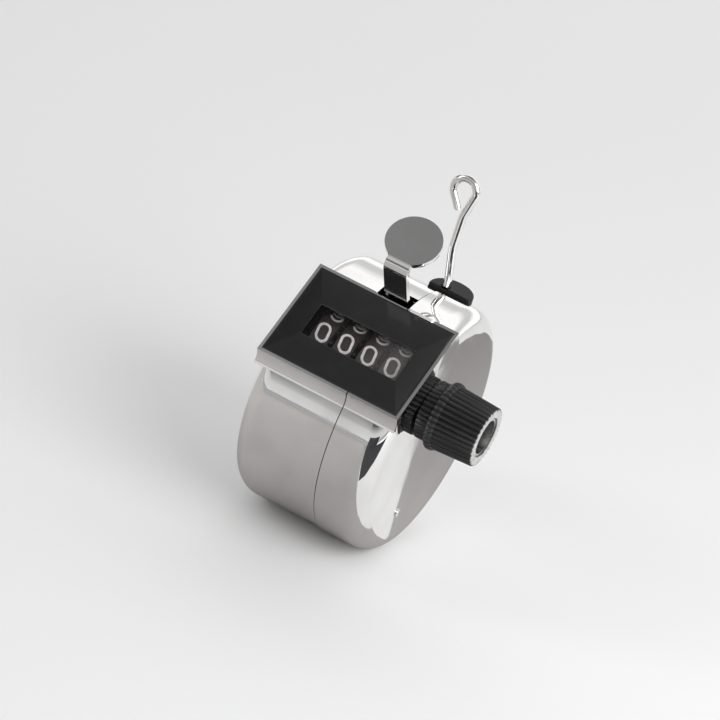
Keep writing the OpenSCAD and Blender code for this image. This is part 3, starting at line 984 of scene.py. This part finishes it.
@dataclass
class ResetKnob:
    """Ribbed black knob with a toothed bead, tapering to a recessed end."""

    ribs: int = 36
    points_a_rib: int = 8
    rib_depth: float = 0.42 * MM
    rib_fullness: float = 0.6
    foot: float = 0.1 * MM
    foot_slack: float = 0.001 * MM
    base_r: float = 5.75 * MM
    grip_r: float = 6.3 * MM
    end_r: float = 5.85 * MM
    bead_at: float = 3.2 * MM
    bead_w: float = 1.8 * MM
    bead_steps: int = 8
    bead_fullness: float = 0.7
    end_round: float = 0.25 * MM
    recess_r: float = 3.75 * MM
    recess_depth: float = 2.6 * MM
    mouth_round: float = 0.3 * MM
    smooth_angle: float = 35
    liner_gap: float = 0.03 * MM
    liner_wall: float = 0.35 * MM
    liner_points: int = 72

    def sections(self, length: float, bead_r: float) -> list[Pair]:
        """Stations along the knob from the cover to its end.

        Args:
            length: length of the knob
            bead_r: radius over the bead

        Returns:
            Pairs of distance along the knob and radius over the ribs
        """
        half = self.bead_w / 2
        low = self.base_r
        stations = [(0.0, low - self.foot), (self.foot, low), (self.bead_at - half, low)]
        for k in range(1, self.bead_steps):
            a = k * math.pi / self.bead_steps
            at = self.bead_at - half * math.cos(a)
            floor = low + (self.grip_r - low) * (at - self.bead_at + half) / self.bead_w
            stations.append((at, floor + (bead_r - floor) * math.sin(a) ** self.bead_fullness))
        stations.append((self.bead_at + half, self.grip_r))
        stations.append((length - self.end_round, self.end_r))
        stations.append((length, self.end_r - self.end_round))
        return stations

    def build(self, frame: dict, lean: Leaning, satin: WornKnob, steel: Material) -> None:
        """Draw the ribbed outline once and extrude it from station to station.

        Args:
            lean: the window's lean
            satin: finish of the knob
            steel: turned steel
        """
        low, high = lean.box("reset_knob", frame)
        length = high.x - low.x
        stations = self.sections(length, (high.y - low.y) / 2)
        around = self.ribs * self.points_a_rib
        bpy.ops.mesh.primitive_circle_add(vertices=around, radius=stations[0][1])
        knob = Bench.name(bpy.context.object, "ribbed_knob")
        for index, vert in enumerate(knob.data.vertices):
            phase = 2 * math.pi * (index % self.points_a_rib) / self.points_a_rib
            crest = 0.5 + 0.5 * math.cos(phase)
            groove = self.rib_depth * (1 - crest**self.rib_fullness)
            vert.co *= (stations[0][1] - groove) / stations[0][1]
        Bench.edit(knob)
        for (at, r), (onward, wider) in zip(stations, stations[1:]):
            Bench.extrude((0, 0, onward - at))
            Bench.widen(wider / r, onward)
        end_r = stations[-1][1]
        self.inward(length, end_r, self.recess_r + self.mouth_round, round_off=True)
        self.inward(length, self.recess_r + self.mouth_round, self.recess_r)
        bpy.ops.transform.translate(value=(0, 0, -self.mouth_round))
        Bench.extrude((0, 0, self.mouth_round - self.recess_depth))
        bpy.ops.mesh.edge_face_add()
        Bench.pick_verts(knob, lambda co: co.z < self.foot_slack)
        bpy.ops.mesh.edge_face_add()
        Bench.close()
        axle = Matrix.Translation((low.x, lean.axle.y, lean.axle.z))
        place = lean.matrix @ axle @ Matrix.Rotation(math.pi / 2, 4, "Y")
        knob.data.transform(place)
        Bench.heal(knob)
        Bench.smooth(knob, self.smooth_angle)
        seat(knob, Body.RESET, satin.material(), ("reset_knob",))
        self.liner(place @ Matrix.Translation((0, 0, length - self.recess_depth)), steel)

    def liner(self, place: Matrix, steel: Material) -> None:
        """Line the recess with a thin turned tube.

        Args:
            place: place of the recess's floor
            steel: turned steel
        """
        outer = self.recess_r - self.liner_gap
        inner = outer - self.liner_wall
        height = self.recess_depth - self.mouth_round
        bpy.ops.mesh.primitive_circle_add(vertices=self.liner_points, radius=outer)
        tube = Bench.name(bpy.context.object, "recess_liner")
        Bench.edit(tube)
        Bench.extrude((0, 0, height))
        self.inward(height, outer, inner)
        Bench.extrude((0, 0, -height))
        self.inward(0, inner, outer)
        Bench.close()
        tube.data.transform(place)
        Bench.heal(tube)
        Bench.smooth(tube)
        seat(tube, Body.RESET, steel)

    @staticmethod
    def inward(level: float, start: float, stop: float, round_off: bool = False) -> None:
        """Extrude the picked ring to another radius at one level.

        Args:
            level: height of the ring
            start: its radius
            stop: its new radius
            round_off: whether to make it truly round
        """
        bpy.ops.mesh.extrude_region_move()
        Bench.widen(stop / start, level)
        if round_off:
            piece = bpy.context.object
            bpy.ops.object.mode_set(mode="OBJECT")
            for vert in piece.data.vertices:
                if vert.select:
                    flat = Vector((vert.co.x, vert.co.y))
                    vert.co.x, vert.co.y = flat * (stop / flat.length)
            bpy.ops.object.mode_set(mode="EDIT")


@dataclass
class ThumbLever:
    """Bent strip with a round pad, its edges rolled smooth."""

    edge: float = 0.22 * MM

    def build(self, frame: dict, plating: Material) -> None:
        """Model and dress the lever.

        Args:
            plating: bright plating
        """
        lever = Bench.fair_copy(frame["nodes"]["thumb_lever"], "press_lever")
        Bench.soften(lever, self.edge)
        seat(lever, Body.LEVER, plating, ("thumb_lever",))


@dataclass
class WireLoop:
    """Bent wire: a headed stem that bows to one side and ends in a teardrop eye."""

    wire_r: float = 0.8 * MM
    head_r: float = 1.4 * MM
    head_t: float = 0.6 * MM
    stem_over_lug: float = 0.4 * MM
    stem_low: float = 5.0 * MM
    stem_high: float = 5.0 * MM
    eye_r: float = 2.3 * MM
    eye_side: float = 3.6 * MM
    eye_tail: float = 2.6 * MM
    bend_r: float = 8.0 * MM
    bow_angle: float = 11.0
    elbow_angle: float = 13.0
    eye_angle: float = 227.0
    eye_steps: int = 40
    tip: tuple[Pair, ...] = ((0.45, 0.9), (0.3, 0.74), (0.15, 0.4))
    sides: int = 20
    smooth_angle: float = 40
    point: Vector = field(init=False)
    heading: float = field(default=0.0, init=False)

    def build(self, frame: dict, plating: Material) -> None:
        """Extrude and spin the wire's section along its runs and bends.

        Args:
            plating: bright plating
        """
        joint = next(j for j in frame["joints"] if j["name"] == "loop_swivel")
        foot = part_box("wire_loop")[0].z
        self.point = Vector((joint["pos_m"][0], joint["pos_m"][1], foot))
        bpy.ops.mesh.primitive_circle_add(
            vertices=self.sides, radius=self.head_r, fill_type="NGON", location=self.point
        )
        loop = Bench.name(bpy.context.object, "hanging_loop")
        Bench.take(loop)
        bpy.ops.object.transform_apply(location=True, rotation=True, scale=True)
        Bench.edit(loop)
        self.run(self.head_t)
        self.narrow(self.wire_r / self.head_r)
        lug_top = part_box("loop_lug")[1].z
        self.run(lug_top - foot - self.head_t + self.stem_over_lug)
        self.bend(self.bend_r, -self.bow_angle)
        self.run(self.stem_low)
        self.bend(self.bend_r, self.bow_angle)
        self.run(self.stem_high)
        self.bend(self.bend_r, self.elbow_angle)
        self.run(self.eye_side)
        self.bend(self.eye_r, -self.eye_angle, self.eye_steps)
        self.run(self.eye_tail)
        for onward, share in self.tip:
            self.run(onward * self.wire_r)
            self.narrow(share)
        Bench.close()
        Bench.heal(loop)
        Bench.smooth(loop, self.smooth_angle)
        seat(loop, Body.LOOP, plating, ("wire_loop",))

    @property
    def ahead(self) -> Vector:
        """Direction of the wire, in the plane of X and Z."""
        return Vector((math.sin(self.heading), 0, math.cos(self.heading)))

    def run(self, length: float) -> None:
        """Extrude the picked end straight on."""
        Bench.extrude(self.ahead * length)
        self.point = self.point + self.ahead * length

    def narrow(self, share: float) -> None:
        """Draw the picked end in on the spot."""
        bpy.ops.mesh.extrude_region_move()
        bpy.ops.transform.resize(value=(share, share, share), center_override=self.point)

    def bend(self, radius: float, angle: float, steps: int = 8) -> None:
        """Spin the picked end to one side.

        Args:
            radius: radius of the bend
            angle: degrees towards +X, or towards -X if negative
            steps: faces along the bend
        """
        side = 1 if angle > 0 else -1
        turn = math.radians(abs(angle))
        across = Vector((math.cos(self.heading), 0, -math.sin(self.heading))) * side
        centre = self.point + across * radius
        bpy.ops.mesh.spin(steps=steps, angle=turn, center=centre, axis=(0, -side, 0))
        turned = Matrix.Rotation(side * turn, 3, "Y")
        self.point = centre + turned @ (self.point - centre)
        self.heading += side * turn


@dataclass
class InnerWorks:
    """Wheels, frame and small metal inside the drum: the CAD nodes themselves, dressed."""

    def build(self, frame: dict, finishes: dict[Slot, Material]) -> None:
        """Give every inner node the finish of its slot.

        Args:
            finishes: material of each slot
        """
        for row in frame["record"]["subparts"]:
            node = frame["nodes"][row["node"]]
            if node.hide_render:
                continue
            node.data.materials.clear()
            node.data.materials.append(finishes[Slot(row["material_slot"])])
            LOG.info("%s dressed as %s", node.name, row["material_slot"])


@dataclass(frozen=True)
class ToneCard:
    """Card on the floor that only shows as a reflection in what shines.

    Args:
        name: name of the card
        low: its lowest X and Y
        high: its highest X and Y
        tones: pairs of X and colour, across the card
        fold: how far its front edge is folded up
        slant: how much further back its front edge lies at the right
    """

    name: str
    low: Pair
    high: Pair
    tones: tuple[tuple[float, Colour], ...]
    fold: float = 0.0
    slant: float = 0.0


@dataclass(frozen=True)
class SoftLamp:
    """Rectangular lamp that faces the counter.

    Args:
        name: name of the lamp
        place: where it hangs
        size: its width and height
        power: its power
    """

    name: str
    place: Triple
    size: Pair
    power: float


@dataclass
class Studio:
    """Pale floor, toned cards, soft lamps and a camera at the photographed angle."""

    azimuth: float = 19.69
    elevation: float = 26.28
    roll: float = 18.10
    distance: float = 540.76 * MM
    aim: Triple = (1.80 * MM, -15.68 * MM, 15.49 * MM)
    lens: float = 150.0
    sensor: float = 36.0
    clip: Pair = (0.01, 20)
    floor_size: float = 6.0
    floor_colour: Colour = (0.92, 0.92, 0.92)
    floor_specular: float = 0.1
    floor_drop: float = 0.05 * MM
    card_drop: float = 0.02 * MM
    paper_roughness: float = 0.9
    cards: tuple[ToneCard, ...] = (
        ToneCard(
            "front_card",
            (-0.45, -0.55),
            (0.022, 0.0),
            ((-0.08, (0.64, 0.62, 0.61)), (0.0, (0.48, 0.46, 0.455))),
        ),
        ToneCard(
            "side_card",
            (0.010, -0.018),
            (0.046, 0.12),
            ((0.018, (0.48, 0.46, 0.455)), (0.046, (0.30, 0.287, 0.283))),
            slant=0.103,
        ),
        ToneCard(
            "dark_card",
            (0.024, -0.30),
            (0.30, -0.055),
            ((0.03, (0.07, 0.07, 0.075)), (0.30, (0.03, 0.03, 0.035))),
            fold=0.05,
        ),
    )
    lamps: tuple[SoftLamp, ...] = (
        SoftLamp("right_softbox", (0.36, -0.14, 0.24), (0.40, 0.34), 1.35),
        SoftLamp("rear_softbox", (0.0, 0.45, 0.30), (1.70, 0.75), 2.3),
        SoftLamp("left_strip", (-0.42, -0.30, 0.30), (0.12, 0.34), 0.45),
    )
    sky_tones: tuple[Pair, ...] = (
        (0.0, 0.75),
        (0.12, 0.66),
        (0.24, 0.10),
        (0.38, 0.14),
        (0.55, 0.60),
        (0.80, 0.55),
        (0.92, 0.30),
        (1.0, 0.10),
    )

    def build(self) -> None:
        """Set the whole stage."""
        self.camera()
        self.floor()
        self.sky()
        for card in self.cards:
            self.card(card)
        for soft in self.lamps:
            self.lamp(soft)

    def card(self, toned: ToneCard) -> None:
        """Lay one toned card.

        Args:
            toned: the card
        """
        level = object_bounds()[0].z - self.card_drop
        (x0, y0), (x1, y1) = toned.low, toned.high
        bpy.ops.mesh.primitive_plane_add(size=1)
        card = Bench.name(bpy.context.object, toned.name)
        place = Matrix.Translation(((x0 + x1) / 2, (y0 + y1) / 2, level))
        card.data.transform(place @ Matrix.Diagonal((x1 - x0, y1 - y0, 1, 1)))
        near_right = min(card.data.vertices, key=lambda vert: vert.co.y - vert.co.x)
        near_right.co.y += toned.slant
        if toned.fold:
            Bench.edit(card)
            Bench.pick_verts(card, lambda co: co.y < (y0 + y1) / 2)
            Bench.extrude((0, 0, toned.fold))
            Bench.close()
        board = NodeBoard(f"{toned.name}_paper")
        board.set(Roughness=self.paper_roughness, Specular_IOR_Level=0.0)
        first, last = toned.tones[0][0], toned.tones[-1][0]
        share = board.spread(board.along_x(), (first, last))
        ramp = board.add("ShaderNodeValToRGB")
        self.fill_ramp(ramp, [((x - first) / (last - first), tone) for x, tone in toned.tones])
        board.link(share, ramp.inputs["Fac"])
        board.colour(ramp.outputs["Color"])
        card.data.materials.append(board.material)
        for ray in ("camera", "diffuse", "shadow", "transmission"):
            setattr(card, f"visible_{ray}", False)
        card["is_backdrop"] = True

    @staticmethod
    def fill_ramp(ramp: Node, tones: list[tuple[float, Colour]]) -> None:
        """Put tones on a colour ramp, from its start to its end.

        Args:
            ramp: colour ramp node
            tones: pairs of place and colour
        """
        marks = ramp.color_ramp.elements
        while len(marks) < len(tones):
            marks.new(0.5)
        for mark, (place, tone) in zip(marks, tones):
            mark.position = place
            mark.color = (*tone, 1)

    def camera(self) -> None:
        """Place the camera on a sphere round its aim, rolled as the photo was."""
        a, e = math.radians(self.azimuth), math.radians(self.elevation)
        back = Vector((math.sin(a) * math.cos(e), -math.cos(a) * math.cos(e), math.sin(e)))
        data = bpy.data.cameras.new("photo_camera")
        data.lens = self.lens
        data.sensor_width = self.sensor
        data.clip_start, data.clip_end = self.clip
        camera = Bench.link(bpy.data.objects.new("photo_camera", data))
        level = (-back).to_track_quat("-Z", "Y").to_matrix().to_4x4()
        rolled = level @ Matrix.Rotation(math.radians(self.roll), 4, "Z")
        camera.matrix_world = Matrix.Translation(Vector(self.aim) + back * self.distance) @ rolled
        bpy.context.scene.camera = camera

    def floor(self) -> None:
        """Lay a pale floor just under the drum."""
        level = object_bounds()[0].z - self.floor_drop
        bpy.ops.mesh.primitive_plane_add(size=self.floor_size, location=(0, 0, level))
        floor = Bench.name(bpy.context.object, "pale_floor")
        board = NodeBoard("floor_paper")
        board.set(Roughness=self.paper_roughness, Specular_IOR_Level=self.floor_specular)
        board.set(Base_Color=(*self.floor_colour, 1))
        floor.data.materials.append(board.material)
        floor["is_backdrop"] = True

    def sky(self) -> None:
        """Light all round softly, dark in a band above the horizon and straight overhead."""
        world = bpy.data.worlds.new("soft_room")
        world.use_nodes = True
        bpy.context.scene.world = world
        tree = world.node_tree
        light = tree.nodes["Background"]
        light.inputs["Strength"].default_value = 1.0
        where = tree.nodes.new("ShaderNodeTexCoord")
        split = tree.nodes.new("ShaderNodeSeparateXYZ")
        ramp = tree.nodes.new("ShaderNodeValToRGB")
        self.fill_ramp(ramp, [(height, (tone, tone, tone)) for height, tone in self.sky_tones])
        tree.links.new(where.outputs["Generated"], split.inputs["Vector"])
        tree.links.new(split.outputs["Z"], ramp.inputs["Fac"])
        tree.links.new(ramp.outputs["Color"], light.inputs["Color"])

    @staticmethod
    def lamp(soft: SoftLamp) -> None:
        """Hang one lamp and turn it to the counter.

        Args:
            soft: the lamp
        """
        data = bpy.data.lights.new(soft.name, "AREA")
        data.shape = "RECTANGLE"
        data.size, data.size_y = soft.size
        data.energy = soft.power
        lamp = Bench.link(bpy.data.objects.new(soft.name, data))
        lamp.location = soft.place
        lamp.rotation_euler = (-Vector(soft.place)).to_track_quat("-Z", "Y").to_euler()


def finishes_by_slot(seam: float) -> dict[Slot, Material]:
    """Make one material for every slot of the record.

    Args:
        seam: place of the drum's seam along X

    Returns:
        The materials by slot
    """
    along_axle = (0.05, 1.0, 1.0)
    finishes = {
        Slot.CHROME_SHELL: PlatedSheet(seam=seam),
        Slot.LEVER_CHROME: PlatedSheet("lever_plating", polish=(0.06, 0.2)),
        Slot.GLOSS_BLACK: MouldedBlack(
            "polished_black",
            (0.009, 0.0085, 0.009),
            (0.014, 0.013, 0.013),
            (0.06, 0.13),
            specular=0.85,
        ),
        Slot.RIBBED_BLACK: MouldedBlack("satin_black", sheen=(0.45, 0.6), specular=0.25),
        Slot.WHEEL_BLACK: MouldedBlack("wheel_black", (0.02, 0.017, 0.017), sheen=(0.4, 0.55)),
        Slot.CLEAR_PANE: ClearPane(),
        Slot.FRAME_STEEL: BareMetal("stamped_steel", (0.56, 0.56, 0.57), (0.44, 0.43, 0.42)),
        Slot.AXLE_STEEL: BareMetal(
            "turned_steel", (0.62, 0.62, 0.63), (0.5, 0.49, 0.48), along_axle
        ),
        Slot.SPRING_STEEL: BareMetal("spring_steel", (0.34, 0.34, 0.36), (0.26, 0.25, 0.25)),
        Slot.BRASS: BareMetal("plain_brass", (0.72, 0.55, 0.27), (0.55, 0.4, 0.2)),
    }
    return {slot: finish.material() for slot, finish in finishes.items()}


def main() -> None:
    """Load the frame, build the sub-assemblies in order and set the stage."""
    logging.basicConfig(level=logging.INFO, format="%(name)s: %(message)s")
    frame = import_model()
    bpy.context.scene.view_settings.view_transform = "Standard"
    lean = Leaning.from_frame(frame)
    Studio().build()
    finishes = finishes_by_slot(Casing.seam_place())
    Casing().build(frame, finishes[Slot.CHROME_SHELL], finishes[Slot.RIBBED_BLACK])
    Window().build(frame, finishes[Slot.GLOSS_BLACK], finishes[Slot.CLEAR_PANE])
    NumberTrain().build(frame, lean, NumberPaint().material())
    knob_end = lean.box("reset_knob", frame)[1].x
    satin = WornKnob(knob_end, lean.matrix @ lean.axle, ResetKnob.grip_r)
    ResetKnob().build(frame, lean, satin, finishes[Slot.AXLE_STEEL])
    ThumbLever().build(frame, finishes[Slot.LEVER_CHROME])
    WireLoop().build(frame, finishes[Slot.LEVER_CHROME])
    InnerWorks().build(frame, finishes)


if __name__ == "__main__":
    main()
